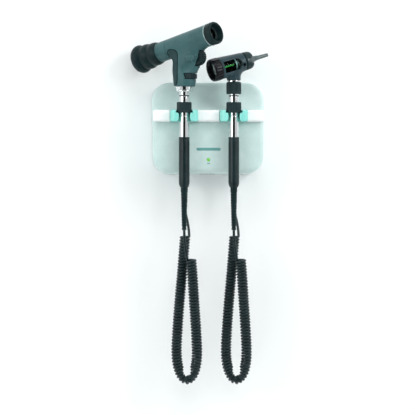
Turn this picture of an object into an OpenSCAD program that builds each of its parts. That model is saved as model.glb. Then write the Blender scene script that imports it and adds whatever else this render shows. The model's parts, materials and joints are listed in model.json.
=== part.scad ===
// Wall-mounted diagnostic station: an otoscope and an ophthalmoscope, each on a corded handle
// that hangs in its own cradle. Millimetres, +Z up. The origin is on the wall, at the centre
// of the station's back, and the station stands out of the wall towards -Y.

/* [Station] */
// Width of the wall station
station_w = 190; // [180:1:200]
// Height of the wall station
station_h = 156; // [150:1:162]
// Corner radius of the station seen from the front
corner_r = 30; // [24:1:34]
// Depth of the lower housing from the wall
body_d = 66; // [64:0.5:67]
// Wall thickness of the moulded cover
cover_t = 2.8; // [2.2:0.1:3.2]

/* [Handles] */
// Distance of each handle from the station's middle
handle_x = 42; // [40:1:46]
// Distance of the handles' centrelines from the wall
handle_d = 84; // [84:0.5:88]
// Outer radius of the chromed handle tube
tube_r = 8.65; // [8.5:0.05:8.7]
// Outer radius of the dimmer ring
dimmer_r = 12.75; // [12.2:0.05:12.9]
// Number of grip flutes on the dimmer ring and the lock collar
flutes = 24; // [12:1:36]
// Diameter of the curly cord's own lead
cord_d = 4.6; // [4:0.1:4.8]
// Outer radius of the curly cord's coil
coil_r = 9.2; // [8.4:0.1:9.4]

/* [Otoscope head] */
// Turn of the otoscope head away from the wall plane, in degrees
oto_yaw = 22; // [18:1:24]
// Rise of the speculum end, in degrees
oto_tilt = 15.5; // [14:0.5:17]
// Height at which the otoscope barrel crosses the handle's centreline
oto_z = 107; // [106:0.5:109]

/* [Ophthalmoscope head] */
// Turn of the ophthalmoscope head away from the wall plane, in degrees
pan_yaw = 40; // [36:1:40]
// Rise of the eyepiece end, in degrees
pan_tilt = 14; // [12:0.5:15]
// Height at which the ophthalmoscope barrel crosses the handle's centreline
pan_z = 141.5; // [141:0.5:143]

/* [Hidden] */
$fn = 64;
gap = 0.3;           // clearance between pieces that move past each other
fit = 0.1;           // running clearance of turning pieces
plate_t = 4;         // wall plate
half_w = station_w / 2;
half_h = station_h / 2;
toe_r = 18;          // rounding of the cover's lower front edge
brow_r = 8;          // rounding of its upper front edge
top_d = 40.5;        // depth of the cover at its top
scoop_d = 100;       // the concave sweep above the rail: the depth of its centre, and its radius
scoop_r = 60;
rail_lo = 10.3;      // underside and top of the cradle rail, and its front
rail_hi = 30.3;
rail_d = 77;
jaw = 11;            // how far each cradle reaches past the handle's centreline
throat_r = 9.3;      // narrowest half width of the cradle
seat_z = 24.7;       // ledge that the dimmer ring rests on
cup_r = 14.1;        // recess around the dimmer ring
lip = 0.7;           // height of the ledge's front edge
sensor_z = 17;       // handle sensor
lamp_z = -54;        // power lamp
foot_x = 60;         // screws that hold the cover to the wall plate from below
foot_d = 12;
foot_z = -74.9;
recess = 2;          // depth of the pockets for the screw heads and for the mains inlet's flange
wall_hole_x = 72;    // the four wall screws
wall_hole_z = 50;
wall_hole_r = 2.75;
core_x = -28;        // transformer
core_z = -30;
// Posts behind the transformer and the circuit board: across, height, depth of the post's end
posts = [[-54, -51, 12.9], [-2, -51, 12.9], [-54, -9, 12.9], [-2, -9, 12.9],
    [18, -58, 9.9], [66, -58, 9.9], [18, -10, 9.9], [66, -10, 9.9]];
inlet_d = 22;        // mains inlet, and the half distance between its pins
inlet_pitch = 4.3;
gland_d = 44;        // depth at which each cord leaves the station's underside
gland_dx = 2.5;
gland_end = -135;
rib = 0.9;           // depth of the strain reliefs' ribs
tube_bore = 7.1;
groove_r = 8.1;
dimmer_lo = 25;
dimmer_hi = 43.2;
grip_lo = -101;
grip_hi = -16;
relief_end = -173;
neck_top = 67;       // top of the handle tube
notch_z = 53.6;      // bayonet notches: height, and angle from the front
notch_a = 59;
socket_r = 10.6;     // outside of the heads' sockets, on which the locking rings turn
oto_neck_z = 79.9;   // underside of the otoscope housing
ring_x0 = -43.5;     // the focus ring's two ends
ring_x1 = -29.5;
bearing_r = 16.9;    // bore that the focus ring turns in
body_x1 = 17.4;      // speculum end of the housing
window_x0 = -25.5;   // eyepiece end of the side windows, and their half height
window_r = 9;
port_x = 12.5;
tip_x1 = 33;         // end of the tip grip
spec_x1 = 65.5;      // end of the speculum
pan_neck_z = 69.2;   // underside of the ophthalmoscope shells
shell_t = 2;
eye_x = 58.5;        // eyepiece end of the shells, and end of the rubber boot
boot_x = 71.5;
nose_x = -30;        // patient end of the shells
cup_x = -52.4;       // start of the rubber eyecup, start of its rim, and its end
rim_x = -86;
cup_end_x = -101.5;
wheel_u = 30;        // focus wheel
wheel_z = 118;
wheel_r = 14;
wheel_w = 12;
dial_u = 10.4;       // aperture dial
dial_lo = 82.1;
dial_hi = 90.8;
dial_r = 13.5;
shelf_lo = 79.2;     // shelves in the neck that hold the dial's pin
shelf_hi = 91.7;
shelf_t = 2.4;
panel_u = -3;        // edge of the neck's front panel, and its two ends
panel_lo = 73;
panel_hi = 126;
pin_r = 1.5;         // pins of the focus wheel and of the dial
dial_pin_r = 2;

// Routes of the curly cords as [across from the handle, along Y, height], handle end first
lead_route = [[0, -handle_d, relief_end - 0.1], [0.3, -handle_d, -185], [1.6, 0.5 - handle_d, -200],
    [3.4, 1.5 - handle_d, -212], [4.9, 2.4 - handle_d, -221.5]];
coil_route = [[11.8, -79, -222], [14.6, -79, -256], [16.9, -78, -292], [20.2, -77, -341],
    [21.9, -75.5, -378], [20.2, -73.5, -402], [14.4, -72, -419], [5.2, -70.5, -425.8],
    [-4, -69, -419], [-10.2, -67.5, -402], [-12.3, -65.5, -378], [-10.6, -63, -341],
    [-6.9, -61.5, -292], [-2.2, -60.5, -240], [2.4, -60, -183]];
tail_route = [[9.4, -59.6, -182.6], [8.7, -57.5, -173], [6.9, -52, -160], [4.2, -46.5, -147],
    [gland_dx, -gland_d, gland_end - 0.7]];

// ---------- shared shapes ----------

// Revolves [radius, height] points around Z.
module spin(points) rotate_extrude() polygon(points);

// Revolves [radius, distance] points around X.
module spin_x(points) rotate([0, 90, 0]) spin(points);

module box(x0, x1, y0, y1, z0, z1) translate([x0, y0, z0]) cube([x1 - x0, y1 - y0, z1 - z0]);

// A flat shape in the X-Z plane, extruded from depth d0 to depth d1.
module from_front(d0, d1) translate([0, -d0, 0]) rotate([90, 0, 0]) linear_extrude(d1 - d0) children();

// A [depth, height] outline extruded across the given width.
module across(w) translate([-w / 2, 0, 0]) rotate([90, 0, 90]) linear_extrude(w) mirror([1, 0]) children();

module rounded(w, h, r) {
    square([w - 2 * r, h], center = true);
    square([w, h - 2 * r], center = true);
    for (x = [-1, 1], y = [-1, 1]) translate([x * (w / 2 - r), y * (h / 2 - r)]) circle(r);
}

function arc(cx, cy, r, a0, a1, n) =
    [for (k = [0:n]) let (a = a0 + (a1 - a0) * k / n) [cx + r * cos(a), cy + r * sin(a)]];

// A smooth line through points: Catmull-Rom, n steps to each stretch.
function smooth(p, n) = let (last = len(p) - 1) concat([for (i = [0:last - 1], k = [0:n - 1])
    let (t = k / n, a = p[max(i - 1, 0)], b = p[i], c = p[i + 1], d = p[min(i + 2, last)])
    0.5 * (2 * b + (c - a) * t + (2 * a - 5 * b + 4 * c - d) * t * t
           + (3 * b - a - 3 * c + d) * t * t * t)], [p[last]]);

function unit(v) = v / norm(v);

// A tube of the given radius along a line whose direction is never along Y.
module sweep(line, r, sides) {
    last = len(line) - 1;
    rings = [for (i = [0:last])
        let (t = unit(line[min(i + 1, last)] - line[max(i - 1, 0)]),
             n = unit(cross(t, [0, 1, 0])), b = cross(n, t))
        for (s = [0:sides - 1]) line[i] + r * (cos(360 * s / sides) * n + sin(360 * s / sides) * b)];
    walls = [for (i = [0:last - 1], s = [0:sides - 1]) let (u = (s + 1) % sides)
        [i * sides + s, i * sides + u, (i + 1) * sides + u, (i + 1) * sides + s]];
    ends = [[for (s = [sides - 1:-1:0]) s], [for (s = [0:sides - 1]) last * sides + s]];
    polyhedron(rings, concat(walls, ends), convexity = 4);
}

// Outline points [radius, distance] of one rubber fold between two distances.
function fold(x0, x1, r0, r1, rise) =
    [for (k = [0:8]) let (t = k / 8) [r0 + (r1 - r0) * t + rise * sin(180 * t), x0 + (x1 - x0) * t]];

// A turning sleeve with shallow grip flutes.
module fluted(r, bore, z0, z1) difference() {
    spin([[bore, z0], [r - 0.8, z0], [r, z0 + 0.8], [r, z1 - 0.8], [r - 0.8, z1], [bore, z1]]);
    for (k = [0:flutes - 1]) rotate([0, 0, 360 * k / flutes]) translate([r + 0.55, 0, z0 + 1.6])
        cylinder(r = 0.9, h = z1 - z0 - 3.2, $fn = 16);
}

// A ribbed strain relief that tapers from radius r0 at the top to r1 at the bottom.
module relief(r0, r1, z0, z1, ribs) {
    step = (z0 - z1 - 8) / ribs;
    spin(concat([[0, z1], [r1, z1]], [for (k = [ribs - 1:-1:0])
        let (z = z0 - 6 - k * step, r = r0 + (r1 - r0) * (z0 - z) / (z0 - z1))
        each [[r, z - step * 0.62], [r - rib, z - step * 0.5], [r - rib, z - step * 0.12], [r, z]]],
        [[r0, z0], [0, z0]]));
}

// ---------- station ----------

// Side outline of the cover as [depth, height], taken in by t all round except at the wall.
function side(t) = concat(
    [[0, t - half_h]],
    arc(body_d - toe_r, toe_r - half_h, toe_r - t, -90, 0, 8),
    [[body_d - t, rail_hi - 1.1 * t]],
    arc(scoop_d, half_h, scoop_r + t, 233, 188, 12),
    arc(top_d - brow_r, half_h - brow_r, brow_r - t, 0, 90, 5),
    [[0, half_h - t]]);

module cover_form(t) intersection() {
    across(station_w) polygon(side(t));
    from_front(0, body_d + 10) rounded(station_w - 2 * t, station_h - 2 * t, corner_r - t);
}

module station_cover() color("whitesmoke") difference() {
    cover_form(0);
    translate([0, 1, 0]) cover_form(cover_t);
    from_front(body_d - 10, body_d + 5) translate([0, lamp_z]) circle(2.4);
    for (x = [-handle_x, handle_x]) translate([x + gland_dx, -gland_d, -half_h - 5])
        cylinder(r = 6.1, h = 20);
    for (x = [-foot_x, foot_x]) translate([x, -foot_d, -half_h - 5]) {
        cylinder(r = 1.7, h = 12);
        cylinder(r = 3.3, h = 5 + recess);
    }
    translate([0, -inlet_d, -half_h - 5]) {
        linear_extrude(12) rounded(20.4, 13.4, 3.2);
        linear_extrude(5 + recess) rounded(26.4, 18.4, 4.2);
    }
}

module wall_plate() color("gainsboro") difference() {
    union() {
        from_front(0, plate_t) rounded(station_w - 2 * cover_t - 0.6, station_h - 2 * cover_t - 0.6,
            corner_r - cover_t - 0.3);
        for (x = [-foot_x, foot_x]) {
            box(x - 7, x + 7, -18, 0.5 - plate_t, foot_z, foot_z + 8);
            box(x - 9, x + 9, -14, 0.5 - plate_t, -foot_z - 3, -foot_z);
        }
        for (p = posts) from_front(plate_t - 0.5, p[2]) translate([p[0], p[1]]) circle(3.4);
    }
    for (x = [-wall_hole_x, wall_hole_x], z = [-wall_hole_z, wall_hole_z])
        from_front(-1, plate_t + 1) translate([x, z]) circle(wall_hole_r);
    for (x = [-foot_x, foot_x]) translate([x, -foot_d, foot_z - 1]) cylinder(r = 1.55, h = 10);
}

module cover_screws() color("silver") for (x = [-foot_x, foot_x]) translate([x, -foot_d, -half_h]) {
    cylinder(r = 3, h = recess - 0.05);
    translate([0, 0, 1]) cylinder(r = 1.5, h = 10);
}

module cradle_rail() color("white") difference() {
    across(station_w - 1) polygon(concat(
        [[body_d, rail_lo]],
        arc(rail_d - 4, rail_lo + 4, 4, -90, 0, 5),
        arc(rail_d - 7, rail_hi - 7, 7, 0, 90, 7),
        [[body_d, rail_hi]]));
    for (x = [-handle_x, handle_x]) box(x - 23.7, x + 23.7, -rail_d - 1, 1 - body_d, rail_lo - 1, rail_hi + 1);
}

// Half outline of the cradle's throat: a rounded lip that narrows almost to the tube.
module throat() polygon(concat([[0, rail_hi + 1], [10.2, rail_hi + 1]],
    arc(throat_r + 18, 19, 18, 161.5, 212, 10), [[0, rail_lo - 1]]));

module cradle(x) translate([x, -handle_d, 0]) color("paleturquoise") difference() {
    translate([0, 0, rail_lo]) linear_extrude(rail_hi - rail_lo) difference() {
        translate([-23.5, -jaw]) square([47, handle_d - body_d + jaw]);
        for (s = [-1, 1]) translate([s * 23.5, -jaw]) difference() {
            square([16, 16], center = true);
            translate([-s * 8, 8]) circle(8);
        }
    }
    rotate_extrude() throat();
    rotate([90, 0, 0]) linear_extrude(20) {
        throat();
        mirror([1, 0]) throat();
    }
    translate([0, 0, seat_z]) cylinder(r = cup_r, h = 10);
    box(-cup_r, cup_r, -20, 0, seat_z + lip, rail_hi + 1);
    translate([0, 20, sensor_z]) rotate([90, 0, 0]) cylinder(r = 2.6, h = 20);
}

module oto_cradle() cradle(handle_x);
module pan_cradle() cradle(-handle_x);

module cradle_sensors() color("black") for (x = [-handle_x, handle_x])
    translate([x, -body_d - 0.1, sensor_z]) rotate([90, 0, 0]) cylinder(r = 2.5, h = 7.8);

module power_lens() color("limegreen") translate([0, 5.4 - body_d, lamp_z]) rotate([90, 0, 0]) {
    cylinder(r = 2.3, h = 6);
    cylinder(r = 3.6, h = 1.5);
}

module transformer_core() color("dimgray") translate([core_x, -24, core_z]) difference() {
    box(-30, 30, -11, 11, -25, 25);
    for (x = [-15, 15]) box(x - 5, x + 5, -12, 12, -15, 15);
}

module transformer_winding() color("peru") translate([core_x, -24, core_z]) difference() {
    box(-19.6, 19.6, -17, 17, -14.6, 14.6);
    box(-10.2, 10.2, -11.2, 11.2, -16, 16);
}

module circuit_board() color("darkgreen") {
    box(14, 70, -11.6, -10, -62, -6);
    for (z = [-44, -30]) translate([24, -11.6, z]) rotate([90, 0, 0]) cylinder(r = 5, h = 16);
    box(40, 62, -20, -11.6, -58, -46);
    box(38, 50, -16, -11.6, -36, -18);
}

module mains_inlet() color("black") translate([0, -inlet_d, -half_h]) difference() {
    union() {
        linear_extrude(recess - 0.05) rounded(26, 18, 4);
        linear_extrude(16) rounded(20, 13, 3);
    }
    translate([0, 0, -1]) linear_extrude(14) rounded(15.4, 8.6, 4.2);
    for (x = [-inlet_pitch, inlet_pitch]) translate([x, 0, 2]) cylinder(r = 1.25, h = 20);
}

module inlet_pins() color("silver") for (x = [-inlet_pitch, inlet_pitch])
    translate([x, -inlet_d, 4 - half_h]) cylinder(r = 1.2, h = 15);

module gland(x) color("darkslategray") translate([x + gland_dx, -gland_d, -half_h]) {
    relief(6, 4.3, -2, gland_end + half_h, 9);
    translate([0, 0, -2]) cylinder(r = 8, h = 1.95);
    translate([0, 0, -1]) cylinder(r = 5.9, h = 8);
}

module oto_gland() gland(handle_x);
module pan_gland() gland(-handle_x);

// ---------- handles ----------

module at(x) translate([x, -handle_d, 0]) children();

module handle_tube(x) at(x) color("silver") difference() {
    spin([[tube_bore, grip_lo + 6], [8.6, grip_lo + 6], [8.6, grip_hi - 0.2], [tube_r, grip_hi],
        [tube_r, 18.8], [groove_r, 19.2], [groove_r, 20], [tube_r, 20.4],
        [tube_r, notch_z - 0.9], [groove_r, notch_z - 0.5], [groove_r, notch_z + 0.5], [tube_r, notch_z + 0.9],
        [tube_r, neck_top - 0.8], [tube_r - 0.8, neck_top], [tube_bore, neck_top]]);
    for (a = [-notch_a, notch_a]) rotate([0, 0, a - 90]) translate([0, 0, notch_z])
        rotate([0, 90, 0]) cylinder(r = 1.2, h = 12);
}

module dimmer(x) at(x) color("darkslategray") fluted(dimmer_r, tube_r + fit, dimmer_lo, dimmer_hi);

module insulator(x) at(x) color("ivory") spin([[2.15, 60], [7, 60], [7, 66], [2.15, 66]]);

module contact(x) at(x) color("goldenrod") {
    translate([0, 0, 57]) cylinder(r = 4, h = 2.9);
    translate([0, 0, 58]) cylinder(r = 2.05, h = 9.2);
}

module grip(x) at(x) color("darkslategray") spin([[tube_r, grip_hi], [9, grip_hi], [9.2, grip_hi - 0.6],
    [9.2, grip_lo + 6], [6.9, grip_lo], [4.3, grip_lo], [4.3, grip_lo + 5.8], [tube_r, grip_lo + 5.8]]);

module handle_relief(x) at(x) color("darkslategray") {
    relief(5.9, 4.2, grip_lo - 0.1, relief_end, 11);
    translate([0, 0, grip_lo - 1]) cylinder(r = 4.2, h = 9);
    translate([0, 0, grip_lo + 7]) cylinder(r = 6.8, h = 3);
}

module cord_lead(x) color("darkslategray") translate([x, 0, 0]) sweep(smooth(lead_route, 2), cord_d / 2, 8);
module cord_tail(x) color("darkslategray") translate([x, 0, 0]) sweep(smooth(tail_route, 2), cord_d / 2, 8);
module cord_coil(x) color("darkslategray") translate([x, 0, 0]) sweep(smooth(coil_route, 2), coil_r, 10);

module oto_tube() handle_tube(handle_x);
module oto_dimmer() dimmer(handle_x);
module oto_insulator() insulator(handle_x);
module oto_contact() contact(handle_x);
module oto_grip() grip(handle_x);
module oto_relief() handle_relief(handle_x);
module oto_cord_lead() cord_lead(handle_x);
module oto_cord_coil() cord_coil(handle_x);
module oto_cord_tail() cord_tail(handle_x);
module pan_tube() handle_tube(-handle_x);
module pan_dimmer() dimmer(-handle_x);
module pan_insulator() insulator(-handle_x);
module pan_contact() contact(-handle_x);
module pan_grip() grip(-handle_x);
module pan_relief() handle_relief(-handle_x);
module pan_cord_lead() cord_lead(-handle_x);
module pan_cord_coil() cord_coil(-handle_x);
module pan_cord_tail() cord_tail(-handle_x);

// The lamp that stands in each head's socket, its foot on the handle's contact.
module lamp(x, h) at(x) color("goldenrod") translate([0, 0, neck_top]) spin([[0, 0.6], [3, 0.6], [3, 1.6],
    [4.9, 2], [4.9, h * 0.66], [3.2, h * 0.7], [3.2, h * 0.88], [2.4, h * 0.96], [0, h]]);

module oto_lamp() lamp(handle_x, 22.6);
module pan_lamp() lamp(-handle_x, 11.4);

// ---------- otoscope head ----------
// Distances along the barrel are measured from the handle's centreline, + towards the patient.

module on_oto() translate([handle_x, -handle_d, oto_z]) rotate([0, 0, oto_yaw]) children();
module on_oto_barrel() on_oto() rotate([0, -oto_tilt, 0]) children();

module window_cut(s, r) from_front(s > 0 ? 6 : -30, s > 0 ? 30 : -6) {
    translate([window_x0, -r]) square([-window_x0 - 1, 2 * r]);
    translate([-1.1, 0]) circle(r);
}

module oto_housing() color("slategray") difference() {
    union() {
        on_oto_barrel() spin_x([[0, ring_x1 + gap], [18.6, ring_x1 + gap], [19, ring_x1 + 1],
            [16, body_x1 - 0.8], [15.2, body_x1], [0, body_x1]]);
        at(handle_x) spin([[0, oto_neck_z], [11.4, oto_neck_z], [11.8, oto_neck_z + 0.4], [11.8, oto_neck_z + 5],
            [13.4, oto_neck_z + 12], [13.4, oto_z], [0, oto_z]]);
    }
    on_oto_barrel() {
        spin_x([[0, ring_x1 - 1], [bearing_r, ring_x1 - 1], [bearing_r, ring_x1 + 3.4], [14.6, body_x1 - 2],
            [0, body_x1 - 2]]);
        spin_x([[0, 10], [10.2, 10], [10.2, body_x1 + 1], [0, body_x1 + 1]]);
        window_cut(1, window_r);
        window_cut(-1, window_r);
        translate([port_x, -8, -4]) rotate([90, 0, 0]) cylinder(r = 2.6, h = 20);
    }
    at(handle_x) translate([0, 0, oto_neck_z - 1]) cylinder(r = 9.8, h = 16);
}

// Clear panes that follow the inside of the barrel, one at each side.
module oto_windows() color("lightcyan", 0.4) on_oto_barrel() intersection() {
    spin_x([[15.4, ring_x1 + 4.4], [16.7, ring_x1 + 4.4], [14.9, 8.3], [13.6, 8.3]]);
    union() {
        window_cut(1, window_r - 0.15);
        window_cut(-1, window_r - 0.15);
    }
}

module oto_focus_ring() color("darkslategray") on_oto_barrel() spin_x([
    [9.6, ring_x0 + 5], [15.5, ring_x0], [18.2, ring_x0], [19.4, ring_x0 + 1.4], [19.6, ring_x1 - 2],
    [19.2, ring_x1], [bearing_r - fit, ring_x1], [bearing_r - fit, ring_x1 + 3], [14, ring_x1 + 3],
    [14, ring_x0 + 9], [9.6, ring_x0 + 9]]);

// A lens that bulges at both faces.
module lens(r, x, t, bulge) color("lightcyan", 0.5) spin_x(concat(
    [for (k = [0:5]) let (a = r * k / 5) [a, x - bulge * (1 - pow(a / r, 2))]],
    [for (k = [5:-1:0]) let (a = r * k / 5) [a, x + t + bulge * (1 - pow(a / r, 2))]]));

module oto_eye_lens() on_oto_barrel() lens(13.9, ring_x0 + 9.9, 1.6, 0.7);

module oto_carriage() color("black") on_oto_barrel() spin_x([[11.4, -26], [12.9, -26], [12.9, -4.2],
    [13.2, -4], [13.2, 0.6], [12.9, 0.8], [12.9, -3], [11.4, -3]]);

module oto_front_lens() on_oto_barrel() lens(12.85, -2.8, 2.6, 1);

module oto_fibre_ring() color("white") on_oto_barrel() spin_x([[7.8, 13], [10.1, 13], [10.1, body_x1 - 0.2],
    [7.8, body_x1 - 0.2]]);

module oto_port() color("darkslategray") on_oto_barrel() translate([port_x, -10, -4])
    rotate([90, 0, 0]) difference() {
        cylinder(r = 2.5, h = 7);
        translate([0, 0, -1]) cylinder(r = 1.5, h = 10);
    }

module oto_tip_grip() color("darkslategray") on_oto_barrel() difference() {
    spin_x([[12.2, body_x1 + gap], [14.8, body_x1 + gap], [15.6, body_x1 + 1.2], [15.2, tip_x1 - 5],
        [13.4, tip_x1], [11.3, tip_x1], [12.2, body_x1 + 6]]);
    for (y = [-14, 14]) box(body_x1 + 4, tip_x1 + 1, y - 7, y + 7, -5, 5);
}

module oto_speculum() color("dimgray") on_oto_barrel() spin_x([[9.9, body_x1 + 1.5], [10.9, body_x1 + 1.5],
    [10.9, body_x1 + 3], [9.6, body_x1 + 6], [6.8, tip_x1], [3.5, tip_x1 + 8], [2.9, tip_x1 + 13],
    [2.4, spec_x1 - 0.5], [2.1, spec_x1], [1.6, spec_x1], [2, tip_x1 + 14], [2.6, tip_x1 + 8],
    [5.9, tip_x1], [8.7, body_x1 + 6]]);

module oto_lock_collar() color("darkslategray") at(handle_x) fluted(12.6, socket_r + fit, 56.6, 77);

module oto_base() color("silver") at(handle_x) spin([[tube_r + fit, 58.4], [10.2, 58.4], [socket_r, 59],
    [socket_r, 77.2], [11.5, 77.2], [11.5, oto_neck_z - 0.2], [9.7, oto_neck_z - 0.2], [9.7, 86], [5.2, 86],
    [5.2, neck_top + 1], [tube_r + fit, neck_top + 1]]);

// ---------- ophthalmoscope head ----------
// Distances along the barrel are measured from the handle's centreline, + towards the doctor.

module on_pan() translate([-handle_x, -handle_d, 0]) rotate([0, 0, -pan_yaw]) children();
module on_pan_barrel() translate([-handle_x, -handle_d, pan_z]) rotate([0, 0, -pan_yaw])
    rotate([0, -pan_tilt, 0]) children();

// A thin oval slice of the neck at distance u and height z, taken in by t.
module oval(u, z, a, b, t) translate([u, 0, z]) scale([a - t, b - t, 1]) cylinder(r = 1, h = 0.2, $fn = 32);

module neck_form(t) {
    hull() {
        oval(0.8, pan_neck_z + t, 18.6, 16.5, t);
        oval(1.1, 86, 21, 17.3, t);
        oval(2.4, 96, 24, 17.3, t);
    }
    hull() {
        oval(2.4, 96, 24, 17.3, t);
        oval(7, 107, 28.5, 17.3, t);
        oval(9, 128, 30, 17, t);
        oval(13, pan_z, 30, 15, t);
    }
}

module barrel_form(t) on_pan_barrel() spin_x([[0, nose_x + t], [17.2 - t, nose_x + t],
    [18.7 - t, eye_x - 1 - t], [18 - t, eye_x - t], [0, eye_x - t]]);

// Where the front panel sits on the neck, widened by g.
module panel_space(g) difference() {
    on_pan() box(-40, panel_u + g, -30, 30, panel_lo - g, panel_hi + g);
    barrel_form(0);
}

module pan_shells() difference() {
    union() {
        barrel_form(0);
        on_pan() neck_form(0);
    }
    barrel_form(shell_t);
    on_pan() intersection() {
        neck_form(shell_t);
        union() {
            box(-40, 60, -30, 30, 60, shelf_lo);
            box(-40, 60, -30, 30, shelf_lo + shelf_t, shelf_hi);
            box(-40, 60, -30, 30, shelf_hi + shelf_t, 130);
        }
    }
    on_pan_barrel() for (x = [nose_x - 1, eye_x - 5]) spin_x([[0, x], [15.2, x], [15.2, x + 6], [0, x + 6]]);
    on_pan() {
        translate([0, 0, pan_neck_z - 1]) cylinder(r = 9.8, h = 9);
        cylinder(r = 4, h = shelf_hi + 4);
        translate([wheel_u, 0, wheel_z]) rotate([90, 0, 0]) {
            cylinder(r = wheel_r + 0.6, h = wheel_w + 1, center = true);
            cylinder(r = pin_r, h = 23, center = true);
        }
        translate([dial_u, 0, dial_lo - 0.5]) cylinder(r = dial_r + 0.5, h = dial_hi - dial_lo + 1);
        translate([dial_u, 0, shelf_lo - 1]) cylinder(r = dial_pin_r, h = 20);
    }
    panel_space(0.3);
}

module pan_shell(y0, y1) color("slategray") intersection() {
    pan_shells();
    on_pan() box(-60, 100, y0, y1, 50, 200);
}

module pan_shell_left() pan_shell(-40, -0.05);
module pan_shell_right() pan_shell(0.05, 40);

module pan_front_panel() color("darkslategray") intersection() {
    on_pan() difference() {
        neck_form(0);
        neck_form(shell_t);
    }
    panel_space(0);
}

module pan_lock_ring() color("silver") at(-handle_x) spin([[tube_r + fit, 60.4], [13.4, 60.4], [13.8, 61],
    [14.4, 65], [16.2, pan_neck_z - 0.3], [socket_r + fit, pan_neck_z - 0.3], [socket_r + fit, 64],
    [tube_r + fit, 64]]);

module pan_socket() color("silver") at(-handle_x) spin([[tube_r + fit, 64.3], [socket_r, 64.3],
    [socket_r, pan_neck_z - 0.2], [9.7, pan_neck_z - 0.2], [9.7, 78], [5.2, 78], [5.2, neck_top + 1],
    [tube_r + fit, neck_top + 1]]);

module pan_nose() color("slategray") on_pan_barrel() spin_x([[15, nose_x + 4.8], [12.8, nose_x + 4.8],
    [12.8, cup_x - 4], [14.6, cup_x - 4], [14.6, cup_x], [16.8, cup_x], [17.1, nose_x - 0.1],
    [15, nose_x - 0.1]]);

module pan_eyecup() color("darkslategray") on_pan_barrel() spin_x(concat(
    fold(cup_x - 0.1, cup_x - 16.6, 16.9, 18, 2.4), fold(cup_x - 16.6, rim_x + 0.1, 18, 18.8, 2.9),
    [[17, rim_x + 0.1], [14.8, cup_x - 5], [14.8, cup_x - 0.1]]));

module pan_eyecup_rim() color("darkslategray") on_pan_barrel() spin_x(concat(
    fold(rim_x, cup_end_x, 18.8, 21.2, 3.4), [[19.4, cup_end_x], [17, rim_x]]));

module pan_boot() color("darkslategray") on_pan_barrel() spin_x([[15.1, eye_x - 4.8], [13.2, eye_x - 4.8],
    [13.2, eye_x + 3], [10.2, eye_x + 5], [10.2, eye_x + 6.5], [14, boot_x - 1.2], [16.4, boot_x],
    [18.4, boot_x - 1.2], [19.4, boot_x - 4], [19.4, eye_x + 1], [18.6, eye_x + 0.1], [15.1, eye_x + 0.1]]);

module pan_optics() color("black") on_pan_barrel() {
    spin_x([[12.4, -20], [14, -20], [14, 24], [12.4, 24]]);
    lens(12.4, -12, 3, 1);
    lens(12.4, 15, 3, 1);
}

// The fixed pins that the focus wheel and the aperture dial turn on.
module pan_wheel_pins() color("silver") on_pan() {
    translate([wheel_u, 0, wheel_z]) rotate([90, 0, 0]) cylinder(r = pin_r, h = 22, center = true);
    translate([dial_u, 0, shelf_lo]) cylinder(r = dial_pin_r, h = shelf_hi + shelf_t - shelf_lo);
}

module pan_focus_wheel() color("darkslategray") on_pan() translate([wheel_u, 0, wheel_z])
    rotate([90, 0, 0]) difference() {
        cylinder(r = wheel_r, h = wheel_w, center = true);
        cylinder(r = pin_r + fit, h = wheel_w + 2, center = true);
        for (k = [0:flutes - 1]) rotate([0, 0, 360 * k / flutes]) translate([wheel_r + 0.5, 0, 0])
            cylinder(r = 1.1, h = wheel_w + 2, center = true, $fn = 16);
    }

module pan_aperture_dial() color("darkslategray") on_pan() translate([dial_u, 0, dial_lo]) difference() {
    cylinder(r = dial_r, h = dial_hi - dial_lo);
    translate([0, 0, -1]) cylinder(r = dial_pin_r + fit, h = 20);
    for (k = [0:flutes - 1]) rotate([0, 0, 360 * k / flutes]) translate([dial_r + 0.4, 0, -1])
        cylinder(r = 1, h = 20, $fn = 16);
}

wall_plate();
station_cover();
cover_screws();
cradle_rail();
oto_cradle();
pan_cradle();
cradle_sensors();
power_lens();
transformer_core();
transformer_winding();
circuit_board();
mains_inlet();
inlet_pins();
oto_gland();
pan_gland();
oto_tube();
oto_dimmer();
oto_insulator();
oto_contact();
oto_grip();
oto_relief();
oto_cord_lead();
oto_cord_coil();
oto_cord_tail();
pan_tube();
pan_dimmer();
pan_insulator();
pan_contact();
pan_grip();
pan_relief();
pan_cord_lead();
pan_cord_coil();
pan_cord_tail();
oto_lock_collar();
oto_base();
oto_lamp();
oto_housing();
oto_windows();
oto_focus_ring();
oto_eye_lens();
oto_carriage();
oto_front_lens();
oto_fibre_ring();
oto_port();
oto_tip_grip();
oto_speculum();
pan_lock_ring();
pan_socket();
pan_lamp();
pan_shell_left();
pan_shell_right();
pan_front_panel();
pan_nose();
pan_eyecup();
pan_eyecup_rim();
pan_boot();
pan_optics();
pan_wheel_pins();
pan_focus_wheel();
pan_aperture_dial();
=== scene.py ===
import json
from math import cos, hypot, pi, radians, sin

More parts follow.
